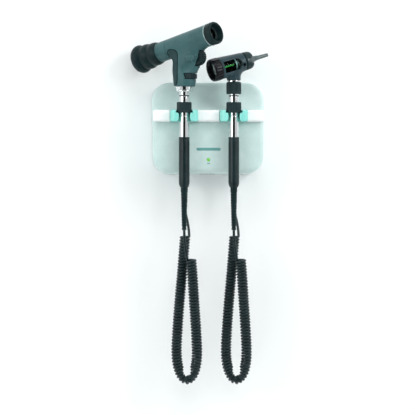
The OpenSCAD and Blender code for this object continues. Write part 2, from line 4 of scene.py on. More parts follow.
import bpy
import numpy as np
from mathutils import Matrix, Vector


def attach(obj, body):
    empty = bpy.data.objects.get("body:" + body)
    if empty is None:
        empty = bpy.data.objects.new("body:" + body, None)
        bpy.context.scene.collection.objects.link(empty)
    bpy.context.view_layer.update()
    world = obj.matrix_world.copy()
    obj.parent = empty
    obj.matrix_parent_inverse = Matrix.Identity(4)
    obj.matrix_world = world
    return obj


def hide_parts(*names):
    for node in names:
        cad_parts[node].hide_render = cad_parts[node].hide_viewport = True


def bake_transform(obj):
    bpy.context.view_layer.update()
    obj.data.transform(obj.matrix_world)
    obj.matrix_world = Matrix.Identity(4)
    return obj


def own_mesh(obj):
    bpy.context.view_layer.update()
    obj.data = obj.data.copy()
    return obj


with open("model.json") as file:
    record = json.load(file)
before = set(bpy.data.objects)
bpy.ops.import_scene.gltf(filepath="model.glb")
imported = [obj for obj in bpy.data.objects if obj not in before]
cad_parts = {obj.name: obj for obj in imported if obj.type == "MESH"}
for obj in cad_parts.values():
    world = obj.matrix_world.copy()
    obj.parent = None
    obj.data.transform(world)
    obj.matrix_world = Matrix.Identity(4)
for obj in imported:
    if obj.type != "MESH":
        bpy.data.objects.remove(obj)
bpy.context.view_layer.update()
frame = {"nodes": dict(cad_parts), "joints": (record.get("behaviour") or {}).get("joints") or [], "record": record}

# Everything is designed in millimetres. MM turns it into the frame's metres.
MM = 0.001
joint = {j["name"]: j for j in frame["joints"]}


# ---------- camera ----------

VIEW_WIDTH = 705           # width of the view at the object, in millimetres
CAMERA_AWAY = 5200
CAMERA_TURN = 2.5          # the camera stands this many degrees to the left
AIM = (-1.5, -60, -135)
SENSOR = 36


def add_camera():
    data = bpy.data.cameras.new("camera")
    data.sensor_width = SENSOR
    data.lens = SENSOR * CAMERA_AWAY / VIEW_WIDTH
    data.clip_start, data.clip_end = 0.1, 50
    camera = bpy.data.objects.new("camera", data)
    turn = radians(CAMERA_TURN)
    camera.location = [(AIM[0] - CAMERA_AWAY * sin(turn)) * MM, (AIM[1] - CAMERA_AWAY * cos(turn)) * MM,
                       AIM[2] * MM]
    camera.rotation_euler = (pi / 2, 0, -turn)
    bpy.context.scene.collection.objects.link(camera)
    bpy.context.scene.camera = camera


add_camera()


# ---------- materials ----------

def colour(code):
    """Linear colour of an sRGB code such as 4F6A6B."""
    parts = [int(code[i:i + 2], 16) / 255 for i in (0, 2, 4)]
    return [p / 12.92 if p <= 0.04045 else ((p + 0.055) / 1.055) ** 2.4 for p in parts]


def adder(tree):
    """A function that adds a node to the tree and sets or joins its inputs."""
    def add(kind, inputs=(), **properties):
        node = tree.nodes.new("ShaderNode" + kind)
        for key, value in properties.items():
            setattr(node, key, value)
        for key, value in dict(inputs).items():
            if isinstance(value, bpy.types.NodeSocket):
                tree.links.new(value, node.inputs[key])
            else:
                node.inputs[key].default_value = value
        return node
    return add


materials = {}             # every material by its name, as shader() makes it


def shader(name, **sockets):
    """A material with one Principled shader whose sockets are set, and functions to add and join nodes."""
    material = materials[name] = bpy.data.materials.new(name)
    material.use_nodes = True
    tree = material.node_tree
    principled = tree.nodes["Principled BSDF"]
    for socket, value in sockets.items():
        principled.inputs[socket].default_value = value

    def join(output, socket):
        tree.links.new(output, principled.inputs[socket])

    return material, adder(tree), join


def ramp(add, noise, dark, light, low=0.0, high=1.0):
    """A node's output that runs between two linear colours as the noise goes from low to high."""
    node = add("ValToRGB", {"Fac": noise.outputs["Fac"]})
    for element, position, shade in zip(node.color_ramp.elements, (low, high), (dark, light)):
        element.position, element.color = position, [*shade, 1]
    return node.outputs["Color"]


def surface(name, dark, light, rough, grain=900, bump=0.05, stretch=(1, 1, 1), spread=0.08, mottle=60,
            **sockets):
    """Two close shades, patches of varying roughness and a fine grain that stands out from the surface."""
    material, add, join = shader(name, **sockets)
    place = add("TexCoord").outputs["Object"]
    broad = add("TexNoise", {"Vector": place, "Scale": mottle, "Detail": 3, "Roughness": 0.6})
    join(ramp(add, broad, colour(dark), colour(light), 0.3, 0.7), "Base Color")
    patches = add("MapRange", {"Value": broad.outputs["Fac"], "To Min": rough - spread,
                               "To Max": rough + spread})
    join(patches.outputs["Result"], "Roughness")
    scaled = add("Mapping", {"Vector": place, "Scale": stretch})
    fine = add("TexNoise", {"Vector": scaled.outputs["Vector"], "Scale": grain, "Detail": 2})
    raised = add("Bump", {"Height": fine.outputs["Fac"], "Strength": bump, "Distance": 0.0004})
    join(raised.outputs["Normal"], "Normal")
    return material


def glass(name, tint, rough, alpha, bend=1.5, level=0.5):
    """Glass that lets most light through, with faint smears."""
    material, add, join = shader(name, **{"Metallic": 0.0, "IOR": bend, "Transmission Weight": 1.0,
                                          "Alpha": alpha, "Specular IOR Level": level})
    place = add("TexCoord").outputs["Object"]
    smear = add("TexNoise", {"Vector": place, "Scale": 220, "Detail": 3})
    join(ramp(add, smear, colour(tint), [min(1, c * 1.15) for c in colour(tint)]), "Base Color")
    patches = add("MapRange", {"Value": smear.outputs["Fac"], "To Min": rough, "To Max": rough + 0.05})
    join(patches.outputs["Result"], "Roughness")
    return material


def lamp_green(name):
    """A lit green lens, brighter towards its middle."""
    material, add, join = shader(name, **{"Roughness": 0.25, "Emission Strength": 0.25, "Coat Weight": 0.3})
    place = add("TexCoord").outputs["Object"]
    cells = add("TexNoise", {"Vector": place, "Scale": 900, "Detail": 1})
    shade = ramp(add, cells, colour("4FB53A"), colour("8BE25A"))
    join(shade, "Base Color")
    join(shade, "Emission Color")
    return material


def make_materials():
    rubber = {"Specular IOR Level": 0.16}
    plastic = {"Specular IOR Level": 0.22}
    surface("shell_white", "C3DCD9", "CEE4E1", 0.36, grain=1400, bump=0.03, **plastic)
    surface("plate_grey", "8F9998", "A0AAA9", 0.6, bump=0.12)
    surface("rail_white", "F3F8F8", "FBFDFD", 0.28, grain=1300, bump=0.02, **plastic)
    surface("cradle_cyan", "86DAD0", "92E4DA", 0.24, grain=1200, bump=0.02,
            **{"Coat Weight": 0.25, "Subsurface Weight": 0.1, "Subsurface Scale": 0.004})
    surface("dark_window", "0C0D10", "14161A", 0.1, bump=0.01, **{"Coat Weight": 0.5})
    lamp_green("green_light")
    surface("steel", "8D9092", "A4A7A8", 0.3, bump=0.1, stretch=(1, 1, 8), Metallic=1.0)
    surface("copper", "9A4D28", "C0703C", 0.35, grain=300, bump=0.6, stretch=(0.2, 0.2, 6), Metallic=0.9)
    surface("board_green", "15502B", "1D6637", 0.4, grain=500, bump=0.1)
    surface("black_plastic", "13272A", "1A3033", 0.4, grain=1500, bump=0.14, **plastic)
    surface("black_rubber", "0D1F22", "142A2C", 0.42, grain=1100, bump=0.16, **rubber)
    surface("chrome", "D9DDDE", "E6E9EA", 0.09, grain=700, bump=0.012, stretch=(1, 1, 12), spread=0.02,
            mottle=25, Metallic=1.0)
    surface("ivory_plastic", "D8CFB8", "E2DAC6", 0.4, bump=0.08)
    surface("brass", "B58A3C", "CFA655", 0.22, Metallic=1.0)
    surface("slate_plastic", "36585A", "406567", 0.36, grain=1500, bump=0.1, mottle=35, **plastic)
    glass("lens_glass", "CFE8E2", 0.02, 1.0)
    glass("window_glass", "C4D8D4", 0.03, 1.0, 1.08, 0.2)
    surface("fibre_white", "E6EAE4", "FFFFFF", 0.3, grain=2500, bump=0.4)
    surface("speculum_grey", "3A4A4C", "4A5B5C", 0.26, bump=0.03, **{"Coat Weight": 0.3})
    # Shades of the same slots where one piece looks different from the next.
    surface("panel", "1E3638", "274244", 0.5, grain=1300, bump=0.2, **rubber)
    surface("cord", "0B1C1F", "152A2D", 0.32, bump=0.08, **{"Specular IOR Level": 0.36})
    # Pale ring colour: on the otoscope's lens rim it is a painted highlight on the lens edge; on the eyepiece boot
    # it is a thin pale ring.
    surface("pale_trim_and_highlight", "9DB6B6", "B2C8C8", 0.28, bump=0.04, Metallic=0.3)
    surface("badge", "5F9C9A", "6BA9A6", 0.4, bump=0.06)
    surface("slate_dark", "25393F", "30474D", 0.34, grain=1500, bump=0.1, mottle=35, **plastic)
    surface("gloss_black", "08090E", "0E1016", 0.22, **plastic)
    # The otoscope's green focus scale gets a faint emission: a painted glow, though the scale is no lamp.
    surface("scale_green_painted_glow", "2F9A3C", "48BE50", 0.3,
            **{"Emission Color": [*colour("2F9A3C"), 1], "Emission Strength": 0.25})
    # Near-black for the otoscope's lens tube and air port and for the discs in the handle's holes: painted shade
    # for their dark insides.
    surface("painted_shade_black", "020304", "050708", 0.6, bump=0.1, **{"Specular IOR Level": 0.1})


make_materials()
for part in frame["record"]["subparts"]:
    held = frame["nodes"][part["node"]].data.materials
    held.clear()
    held.append(materials[part["material_slot"]])


# ---------- places ----------

def turned(yaw, tilt=0):
    """Rotation that turns X by yaw about Z, after raising it by tilt, in degrees."""
    y, t = radians(yaw), radians(tilt)
    about_z = np.array([[cos(y), -sin(y), 0], [sin(y), cos(y), 0], [0, 0, 1]])
    raised = np.array([[cos(t), 0, -sin(t)], [0, 1, 0], [sin(t), 0, cos(t)]])
    return about_z @ raised


ONTO_Y = np.array([[1, 0, 0], [0, 0, -1], [0, 1, 0]])      # lays a piece's own Z along -Y


class Place:
    """Where a piece's own axes lie: it turns points in millimetres into the row frame's metres."""

    def __init__(self, origin, rotation=None):
        self.origin = np.array(origin, float)
        self.rotation = np.eye(3) if rotation is None else rotation

    def __call__(self, points):
        return np.asarray(points, float) @ self.rotation.T * MM + self.origin

    def directions(self, vectors):
        return np.asarray(vectors, float) @ self.rotation.T


HALF_W, HALF_H = 95, 78                    # the station
oto_axis = np.array(joint["oto_dimmer_turn"]["pos_m"]) * [1, 1, 0]
pan_axis = np.array(joint["pan_dimmer_turn"]["pos_m"]) * [1, 1, 0]
OTO_YAW, OTO_TILT = 22, 15.5
PAN_YAW, PAN_TILT, PAN_Z = -40, 14, 141.5
HANDLE_X = oto_axis[0] / MM

at_station = Place([0, 0, 0])
at_handle = {"oto": Place(oto_axis), "pan": Place(pan_axis)}
at_oto = Place(joint["oto_focus_turn"]["pos_m"], turned(OTO_YAW, OTO_TILT))
at_pan_neck = Place(pan_axis, turned(PAN_YAW))
at_pan = Place(pan_axis + [0, 0, PAN_Z * MM], turned(PAN_YAW, PAN_TILT))
at_dial = Place(joint["pan_aperture_turn"]["pos_m"], turned(PAN_YAW))
at_wheel = Place(joint["pan_focus_turn"]["pos_m"], turned(PAN_YAW) @ ONTO_Y)


# ---------- mesh tools ----------

def piece(name, points, faces, body, finish, stands_for=(), normals=None, sharp=40):
    """Makes a mesh object from points in metres. Its normals face out, and it rides on a body."""
    mesh = bpy.data.meshes.new(name)
    mesh.from_pydata(np.asarray(points).tolist(), [], [list(map(int, f)) for f in faces])
    mesh.update()
    thing = bpy.data.objects.new(name, mesh)
    bpy.context.scene.collection.objects.link(thing)
    mesh.materials.append(materials[finish])
    mesh.shade_smooth()
    if normals is None:
        mesh.set_sharp_from_angle(angle=radians(sharp))
    else:
        mesh.normals_split_custom_set_from_vertices(normals.tolist())
    if body:
        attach(thing, body)
    if stands_for:
        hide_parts(*stands_for)
    return thing


def rounded(outline, radius):
    """The closed outline with its corners rounded, except on the axis."""
    count, steps, out = len(outline), 4, []
    for i in range(count):
        before, here, after = (np.array(outline[(i + k) % count], float) for k in (-1, 0, 1))
        a, b = before - here, after - here
        la, lb = hypot(*a), hypot(*b)
        turn = 1 - abs(np.dot(a, b) / (la * lb))
        reach = min(radius, 0.45 * la, 0.45 * lb)
        if here[0] < 1e-6 or turn < 0.02 or reach < 0.02:
            out.append(here)
            continue
        start, end = here + a / la * reach, here + b / lb * reach
        for k in range(steps + 1):
            t = k / steps
            out.append((1 - t) ** 2 * start + 2 * t * (1 - t) * here + t * t * end)
    return np.array(out)


def lathe(outline, segments=96, soft=0.4, ripple=None, along_x=False, slice_at=None):
    """Points and faces of a closed [radius, distance] outline turned about an axis, with softened corners.
    ripple(distance, angle) is how far the surface is cut in."""
    ring = rounded(outline, soft) if soft else np.array(outline, float)
    if slice_at:
        ring = cut_long(ring, slice_at)
    angle = 2 * pi * np.arange(segments) / segments
    r, h = ring[:, 0][:, None], ring[:, 1][:, None]
    r = r - (ripple(r, h, angle[None]) if ripple else 0)
    grid = np.stack([r * np.cos(angle), r * np.sin(angle), h + 0 * r * angle], -1)
    if along_x:
        grid = grid[..., [2, 0, 1]]
    number = np.arange(grid.shape[0] * segments).reshape(-1, segments)
    on_axis = ring[:, 0] < 1e-6
    number[on_axis] = number[on_axis][:, :1]
    faces = []
    for i in range(len(ring)):
        j = (i + 1) % len(ring)
        if on_axis[i] and on_axis[j]:
            continue
        for s in range(segments):
            t = (s + 1) % segments
            corners = [number[i, s], number[i, t], number[j, t], number[j, s]]
            faces.append(list(dict.fromkeys(corners)))
    return tidy_mesh(grid.reshape(-1, 3), faces)


def cut_long(ring, longest):
    """Adds points so that no edge of the ring is longer than the given length."""
    out = []
    for here, after in zip(ring, np.roll(ring, -1, 0)):
        parts = max(1, int(np.ceil(hypot(*(after - here)) / longest)))
        out += [here + (after - here) * k / parts for k in range(parts)]
    return np.array(out)


def tidy_mesh(points, faces):
    """Drops unused points and turns the faces outwards."""
    used = np.unique(np.concatenate([np.asarray(f) for f in faces]))
    renumber = -np.ones(len(points), int)
    renumber[used] = np.arange(len(used))
    points = points[used]
    faces = [[int(renumber[c]) for c in f] for f in faces]
    volume = 0.0
    for f in faces:
        for k in range(1, len(f) - 1):
            volume += np.dot(points[f[0]], np.cross(points[f[k]], points[f[k + 1]]))
    if volume < 0:
        faces = [f[::-1] for f in faces]
    return points, faces


def turned_piece(name, place, outline, body, finish, stands_for=(), slot=None, **how):
    points, faces = lathe(outline, **how)
    return piece(name, place(points), faces, body, finish, stands_for)


def sleeve(inner, outer, low, high, edge_r, edge_h):
    """Outline of a ring whose outer edges are bevelled."""
    return np.round([[inner, low], [outer - edge_r, low], [outer, low + edge_h], [outer, high - edge_h],
                     [outer - edge_r, high], [inner, high]], 9)


def flutes(count, depth, low, high, at_least, run=1.2):
    """Ripple of round grip flutes between two distances, on the outside only."""
    def ripple(r, h, angle):
        ends = np.clip((h - low) / run, 0, 1) * np.clip((high - h) / run, 0, 1)
        return depth * ends * (r > at_least) * (0.5 + 0.5 * np.cos(count * angle)) ** 2
    return ripple


def sweep(path, radius, sides):
    """A closed round tube along a path, without twist. radius may change along it."""
    path = np.asarray(path, float)
    radius = np.broadcast_to(radius, len(path))
    forward = np.gradient(path, axis=0)
    forward /= np.linalg.norm(forward, axis=1)[:, None]
    side = np.cross(forward[0], [0.3, 1, 0.2])
    angle = 2 * pi * np.arange(sides) / sides
    rings = []
    for here, ahead, size in zip(path, forward, radius):
        side = side - np.dot(side, ahead) * ahead
        side /= np.linalg.norm(side)
        up = np.cross(ahead, side)
        rings.append(here + size * (np.cos(angle)[:, None] * side + np.sin(angle)[:, None] * up))
    faces = []
    for i in range(len(path) - 1):
        for s in range(sides):
            t = (s + 1) % sides
            faces.append([i * sides + s, i * sides + t, (i + 1) * sides + t, (i + 1) * sides + s])
    last = (len(path) - 1) * sides
    faces += [list(range(sides))[::-1], [last + s for s in range(sides)]]
    return np.concatenate(rings), faces


def blend_min(a, b, k):
    h = np.clip(k - np.abs(a - b), 0, None) / k
    return np.minimum(a, b) - h * h * k / 4


def blend_max(a, b, k):
    return -blend_min(-a, -b, k)


def slope(field, points, step=0.02):
    out = np.empty_like(points)
    for axis in range(3):
        shift = np.zeros(3)
        shift[axis] = step
        out[:, axis] = (field(points + shift) - field(points - shift)) / (2 * step)
    return out


def sculpt(field, low, high, cell):
    """Points, faces and normals of the surface where field is zero: one point in each cell that it crosses,
    drawn onto the surface."""
    axes = [np.arange(low[i] - cell, high[i] + 2 * cell, cell) for i in range(3)]
    grid = np.stack(np.meshgrid(*axes, indexing="ij"), -1)
    value = field(grid.reshape(-1, 3)).reshape(grid.shape[:3])
    inside = value < 0
    n = np.array(value.shape) - 1
    count = np.zeros(n, int)
    for i, j, k in np.ndindex(2, 2, 2):
        count += inside[i:i + n[0], j:j + n[1], k:k + n[2]]
    cells = np.argwhere((count > 0) & (count < 8))
    number = -np.ones(n, int)
    number[tuple(cells.T)] = np.arange(len(cells))
    total, hits = np.zeros((len(cells), 3)), np.zeros(len(cells))
    for axis in range(3):
        for corner in np.ndindex(2, 2, 2):
            if corner[axis]:
                continue
            start = cells + corner
            end = start.copy()
            end[:, axis] += 1
            a, b = value[tuple(start.T)], value[tuple(end.T)]
            crossed = (a < 0) != (b < 0)
            share = np.where(crossed, a / np.where(crossed, a - b, 1), 0)
            spot = start.astype(float)
            spot[:, axis] += share
            total += spot * crossed[:, None]
            hits += crossed
    points = np.array([a[0] for a in axes]) + cell * total / hits[:, None]
    faces = []
    for axis in range(3):
        u, v = np.eye(3, dtype=int)[(axis + 1) % 3], np.eye(3, dtype=int)[(axis + 2) % 3]
        first = np.take(inside, range(n[axis]), axis)
        second = np.take(inside, range(1, n[axis] + 1), axis)
        edge = np.argwhere(first != second)
        keep = (edge >= u + v).all(1) & (edge < n).all(1)
        edge = edge[keep]
        ring = [number[tuple((edge - d).T)] for d in (0 * u, u, u + v, v)]
        quads = np.stack(ring, 1)
        outward = first[tuple(edge.T)]
        faces.append(np.where(outward[:, None], quads, quads[:, ::-1]))
    for _ in range(4):
        g = slope(field, points)
        step = field(points)[:, None] * g / np.clip((g * g).sum(1), 0.25, None)[:, None]
        points -= np.clip(step, -0.4 * cell, 0.4 * cell)
    g = slope(field, points)
    return points, np.concatenate(faces), g / np.clip(np.linalg.norm(g, axis=1), 1e-9, None)[:, None]


def sculpted(name, place, field, low, high, cell, body, finish, stands_for=()):
    points, faces, normals = sculpt(field, low, high, cell)
    return piece(name, place(points), faces, body, finish, stands_for, place.directions(normals))


def round_box(x, z, half_x, half_z, r):
    """Distance to a rounded rectangle."""
    qx, qz = np.abs(x) - half_x + r, np.abs(z) - half_z + r
    return np.hypot(np.clip(qx, 0, None), np.clip(qz, 0, None)) + np.minimum(np.maximum(qx, qz), 0) - r


def between(x, low, high):
    return np.maximum(low - x, x - high)


def smooth_line(points, spacing):
    """Catmull-Rom line through points, resampled to even spacing."""
    p = np.asarray(points, float)
    ends = np.concatenate([p[:1], p, p[-1:]])
    fine = []
    for i in range(len(p) - 1):
        a, b, c, d = ends[i:i + 4]
        t = np.linspace(0, 1, 24, endpoint=False)[:, None]
        fine.append(0.5 * (2 * b + (c - a) * t + (2 * a - 5 * b + 4 * c - d) * t ** 2
                           + (3 * b - a - 3 * c + d) * t ** 3))
    fine = np.concatenate(fine + [p[-1:]])
    run = np.concatenate([[0], np.cumsum(np.linalg.norm(np.diff(fine, axis=0), axis=1))])
    count = max(2, int(round(run[-1] / spacing)) + 1)
    even = np.linspace(0, run[-1], count)
    return np.stack([np.interp(even, run, fine[:, k]) for k in range(3)], 1), even


# ---------- cords ----------
# The route points follow the CAD model's, as [across from the handle, along Y, height], handle end first.

CORD_D = 4.6
HELIX_R = 6.9              # to the middle of the cord
PITCH = 5.0
OUTER_PITCH = 6.2          # spacing along the outside where the coil bends round
CLOSEST_PITCH = 3.5        # there every second turn tucks in behind the one before
RAMP = 1.5                 # length over which the coil winds up at each end
TURN_POINTS = 16
LEAD = [[0, -84, -173.1], [0.3, -84, -185], [1.6, -83.5, -200], [3.4, -82.5, -212], [4.9, -81.6, -221.5]]
COIL = [[11.8, -79, -222], [14.6, -79, -256], [16.9, -78, -292], [20.2, -77, -341],
        [21.9, -75.5, -378], [20.2, -73.5, -402], [14.4, -72, -419], [5.2, -70.5, -425.8],
        [-4, -69, -419], [-10.2, -67.5, -402], [-12.3, -65.5, -378], [-10.6, -63, -341],
        [-6.9, -61.5, -292], [-2.2, -60.5, -240], [2.4, -60, -183]]
TAIL = [[9.4, -59.6, -182.6], [8.7, -57.5, -173], [6.9, -52, -160], [4.2, -46.5, -147], [2.5, -44, -135.1]]


def wound(route, lead_end, tail_start):
    """Middle line of the curly part: a helix about the route, whose ends meet the lead and the tail."""
    line, run = smooth_line(route, 0.5)
    ahead = np.gradient(line, axis=0)
    ahead /= np.linalg.norm(ahead, axis=1)[:, None]
    bend = np.gradient(ahead, run, axis=0)
    bend = np.stack([np.convolve(np.pad(b, 20, mode="edge"), np.ones(41) / 41, "valid") for b in bend.T], 1)
    strength = np.linalg.norm(bend, axis=1) + 1e-6
    inward = bend / strength[:, None]
    pitch = np.clip(OUTER_PITCH / (1 + HELIX_R * strength), CLOSEST_PITCH, PITCH)
    tuck = np.clip((CORD_D - pitch) / (CORD_D - CLOSEST_PITCH), 0, 1)
    reach = np.clip((1 - 0.96 * CORD_D / (pitch * (1 + tuck))) / strength, 2.4, HELIX_R)
    ease = np.clip(run / RAMP, 0, 1) * np.clip((run[-1] - run) / RAMP, 0, 1)
    side = np.empty_like(line)
    side[0] = np.cross(ahead[0], [0, 1, 0])
    for i in range(len(line)):
        s = side[i - 1] if i else side[0]
        s = s - np.dot(s, ahead[i]) * ahead[i]
        side[i] = s / np.linalg.norm(s)
    up = np.cross(ahead, side)

    def phase_to(point, i):
        out = np.array(point) - line[i]
        return np.arctan2(np.dot(out, up[i]), np.dot(out, side[i]))

    turn = 2 * pi * np.concatenate([[0], np.cumsum((ease / pitch)[1:] * np.diff(run))])
    first, last = phase_to(lead_end, 0), phase_to(tail_start, -1)
    whole = round((turn[-1] - (last - first)) / (2 * pi))
    turn = turn * (last - first + 2 * pi * whole) / turn[-1] + first
    count = int(abs(turn[-1] - turn[0]) / (2 * pi) * TURN_POINTS)
    spread = np.interp(np.linspace(0, 1, count),
                       np.linspace(0, 1, len(run)) * 0.02 + 0.98 * (turn - turn[0]) / (turn[-1] - turn[0]), run)
    at = [np.interp(spread, run, v) for v in [turn, reach, tuck, *line.T, *side.T, *up.T, *inward.T]]
    angle, deep, tucked = at[:3]
    middle, s, u, inside = (np.stack(at[k:k + 3], 1) for k in (3, 6, 9, 12))
    out = HELIX_R * (np.cos(angle)[:, None] * s + np.sin(angle)[:, None] * u)
    depth = (out * inside).sum(1)
    across = out - depth[:, None] * inside
    facing = angle - np.arctan2((u * inside).sum(1), (s * inside).sum(1))
    second = tucked * np.clip(0.5 - 1.2 * np.cos(facing / 2), 0, 1)
    plain_depth = np.where(depth > 0, depth * deep / HELIX_R, depth)
    small_depth = (depth + HELIX_R) * (HELIX_R + deep - CORD_D) / (2 * HELIX_R) - HELIX_R
    depth = plain_depth + (small_depth - plain_depth) * second
    return middle + depth[:, None] * inside + across * (1 - 0.45 * second)[:, None]


def add_cord(side, handle_x):
    shift = np.array([handle_x, 0, 0])
    coil = wound(COIL, LEAD[-1], TAIL[0])
    lead, _ = smooth_line(LEAD + [coil[0].tolist()], 1.6)
    tail, _ = smooth_line([coil[-1].tolist()] + TAIL, 1.6)
    path = np.concatenate([lead[:-1], coil, tail[1:]]) + shift
    points, faces = sweep(path, CORD_D / 2, 10)
    name = side + "_curly_cord"
    thing = piece(name, points * MM, faces, None, "cord", sharp=60)
    nodes = [side + "_cord_" + part for part in ("lead", "coil", "tail")]
    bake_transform(thing)
    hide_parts(*nodes)


add_cord("oto", HANDLE_X)
add_cord("pan", -HANDLE_X)


# ---------- station ----------
# Points are [across, along Y, height], and depth from the wall is -Y.

COVER_T = 2.8
RECESS = 2                 # pockets for the screw heads and the inlet's flange
BODY_D, RAIL_D = 66, 77
RAIL_LO, RAIL_HI = 10.3, 30.3
TOE_R, TOE_CUT = 18, 5      # the curve under the front, and how early the outline ends it
HOLLOW_R, HOLLOW_D = 60, 100
LAMP_Z = -54
GLAND_D, GLAND_DX = 44, 2.5
SCREW_X, SCREW_D, INLET_D = 60, 12, 22


def cover_block(p):
    x, d, z = p[:, 0], -p[:, 1], p[:, 2]
    q = np.stack([d - BODY_D + TOE_R, -z - HALF_H - TOE_CUT + TOE_R], 1)
    front = np.hypot(*np.clip(q, 0, None).T) + np.minimum(q.max(1), 0) - TOE_R
    hollow = HOLLOW_R - np.hypot(d - HOLLOW_D, z - HALF_H)
    narrow = np.clip((RAIL_LO + 3 - z) / 6, 0, 1) * 1.4
    outline = round_box(x, z, HALF_W - narrow, HALF_H, 30)
    return blend_max(blend_max(front, hollow, 2), outline, 8)


def cover(p):
    x, d, z = p[:, 0], -p[:, 1], p[:, 2]
    block = cover_block(p)
    shell = np.maximum(np.maximum(block, -block - COVER_T), 0.4 - d)
    lamp = np.hypot(x, z - LAMP_Z) - 2.5
    holes = [np.maximum(lamp, BODY_D - 12 - d)]
    for side in (-1, 1):
        gland = np.hypot(x - side * HANDLE_X - GLAND_DX, d - GLAND_D) - 6.2
        holes.append(np.maximum(gland, z + HALF_H - 8))
        screw = np.hypot(x - side * SCREW_X, d - SCREW_D)
        holes += [np.maximum(screw - 1.8, z + HALF_H - 8), np.maximum(screw - 3.3, z + HALF_H - RECESS)]
    holes.append(np.maximum(round_box(x, d - INLET_D, 10.3, 6.8, 3.2), z + HALF_H - 8))
    holes.append(np.maximum(round_box(x, d - INLET_D, 13.2, 9.2, 4.2), z + HALF_H - RECESS))
    for hole in holes:
        shell = blend_max(shell, -hole, 0.4)
    return shell


def rail(p):
    x, d, z = p[:, 0], -p[:, 1], p[:, 2]
    level = (RAIL_HI + RAIL_LO) / 2
    outline = round_box(d - BODY_D - 1, z - level, RAIL_D - BODY_D - 1, (RAIL_HI - RAIL_LO) / 2, 4.5)
    bar = blend_max(outline, np.abs(x) - HALF_W + 0.5, 4)
    bar = np.maximum(bar, BODY_D + 0.05 - d)
    for side in (-1, 1):
        bar = blend_max(bar, 23.8 - np.abs(x - side * HANDLE_X), 1)
    return bar


def cradle(p):
    """Around its handle's centreline."""
    x, y, z = p.T
    block = blend_max(round_box(x, y - 18, 23.5, 29, 8), between(z, RAIL_LO, RAIL_HI), 3)
    block = blend_max(block, y - 17.9, 0.6)
    lip = np.clip(z - 19, -12, 5.7)
    half = 9.3 + 18 - np.sqrt(18 ** 2 - lip ** 2)
    slot = np.where(y > 0, np.hypot(x, y), np.abs(x)) - half
    cup = np.where(y > 0, np.hypot(x, y), np.abs(x)) - 14.1
    cup = np.maximum(cup, np.where(y > 0, 24.7, 25.0) - z)
    eye = np.maximum(np.hypot(x, z - 17) - 2.6, -y)
    return blend_max(blend_max(blend_max(block, -slot, 1.6), -cup, 1), -eye, 0.5)


def add_station():
    sculpted("station_housing", at_station, cover, (-HALF_W, -BODY_D, -HALF_H), (HALF_W, 0, HALF_H), 1.5,
             "station", "shell_white", ["station_cover"])
    sculpted("station_rail", at_station, rail, (-HALF_W, -RAIL_D, RAIL_LO), (HALF_W, -BODY_D, RAIL_HI), 1.1,
             "station", "rail_white", ["cradle_rail"])
    for side in ("oto", "pan"):
        sculpted(side + "_cradle_jaws", at_handle[side], cradle, (-24, -12, RAIL_LO), (24, 18, RAIL_HI), 0.75,
                 "station", "cradle_cyan", [side + "_cradle"])
    front = Place([0, -BODY_D * MM, LAMP_Z * MM], ONTO_Y)
    turned_piece("power_light", front, [[0, -5.3], [3.6, -5.3], [3.6, -3.9], [2.35, -3.9], [2.35, 0.5],
                                        [1.6, 0.95], [0, 1.1]], "station", "green_light", ["power_lens"],
                 segments=48, soft=0.3)
    for name, height, half_x, half_z, proud, edge, x, z, cell in (
            ("station_badge", -36, 20.5, 2.4, 0.45, 0.5, 21, 3, 0.35),
            ("station_lamp_mark", -60.5, 2.6, 0.7, 0.25, 0.3, 3, 1, 0.2)):
        bar = lambda p: blend_max(round_box(p[:, 0], p[:, 2], half_x, half_z, half_z - 0.1),
                                  between(-p[:, 1], BODY_D - 0.4, BODY_D + proud), edge)
        sculpted(name, Place([0, 0, height * MM]), bar, (-x, -BODY_D - 1, -z), (x, -BODY_D + 1, z), cell,
                 "station", "badge")
    for side, x in (("oto", HANDLE_X), ("pan", -HANDLE_X)):
        base = Place([(x + GLAND_DX) * MM, -GLAND_D * MM, -HALF_H * MM])
        outline = [[0, -57], [4.3, -57], *ribs(-8, -50, 6, 4.5, 10), [6, -2], [8, -2], [8, -0.1], [5.9, -0.1],
                   [5.9, 7], [0, 7]]
        turned_piece(side + "_cord_gland", base, outline, "station", "black_rubber", [side + "_gland"],
                     segments=48, soft=0.25)


def ribs(top, bottom, r0, r1, count):
    """Outline of a tapered strain relief's ribs, from the bottom up."""
    step = (top - bottom) / count
    out = []
    for k in range(count):
        z = bottom + k * step
        r = r1 + (r0 - r1) * (k + 0.5) / count
        out += [[r - 0.9, z], [r - 0.9, z + 0.32 * step], [r, z + 0.42 * step], [r, z + 0.9 * step]]
    return out


add_station()


# ---------- handles ----------

TUBE_R, BORE, GROOVE_R = 8.65, 7.1, 8.1
SOCKET_R = 10.6
NOTCH_Z, NOTCH_A = 53.6, 59
GRIP_LO, GRIP_HI = -101, -16


def drill(thing, start, end, radius):
    """Cuts a round hole between two points in metres."""
    mesh = bpy.data.meshes.new("drill")
    tool = bpy.data.objects.new("drill", mesh)
    points, faces = sweep([start, end], radius, 24)
    mesh.from_pydata(points.tolist(), [], faces)
    bpy.context.scene.collection.objects.link(tool)
    cut = thing.modifiers.new("hole", "BOOLEAN")
    cut.operation, cut.object, cut.solver = "DIFFERENCE", tool, "EXACT"
    with bpy.context.temp_override(object=thing, active_object=thing):
        bpy.ops.object.modifier_apply(modifier=cut.name)
    bpy.data.objects.remove(tool)
    bpy.data.meshes.remove(mesh)


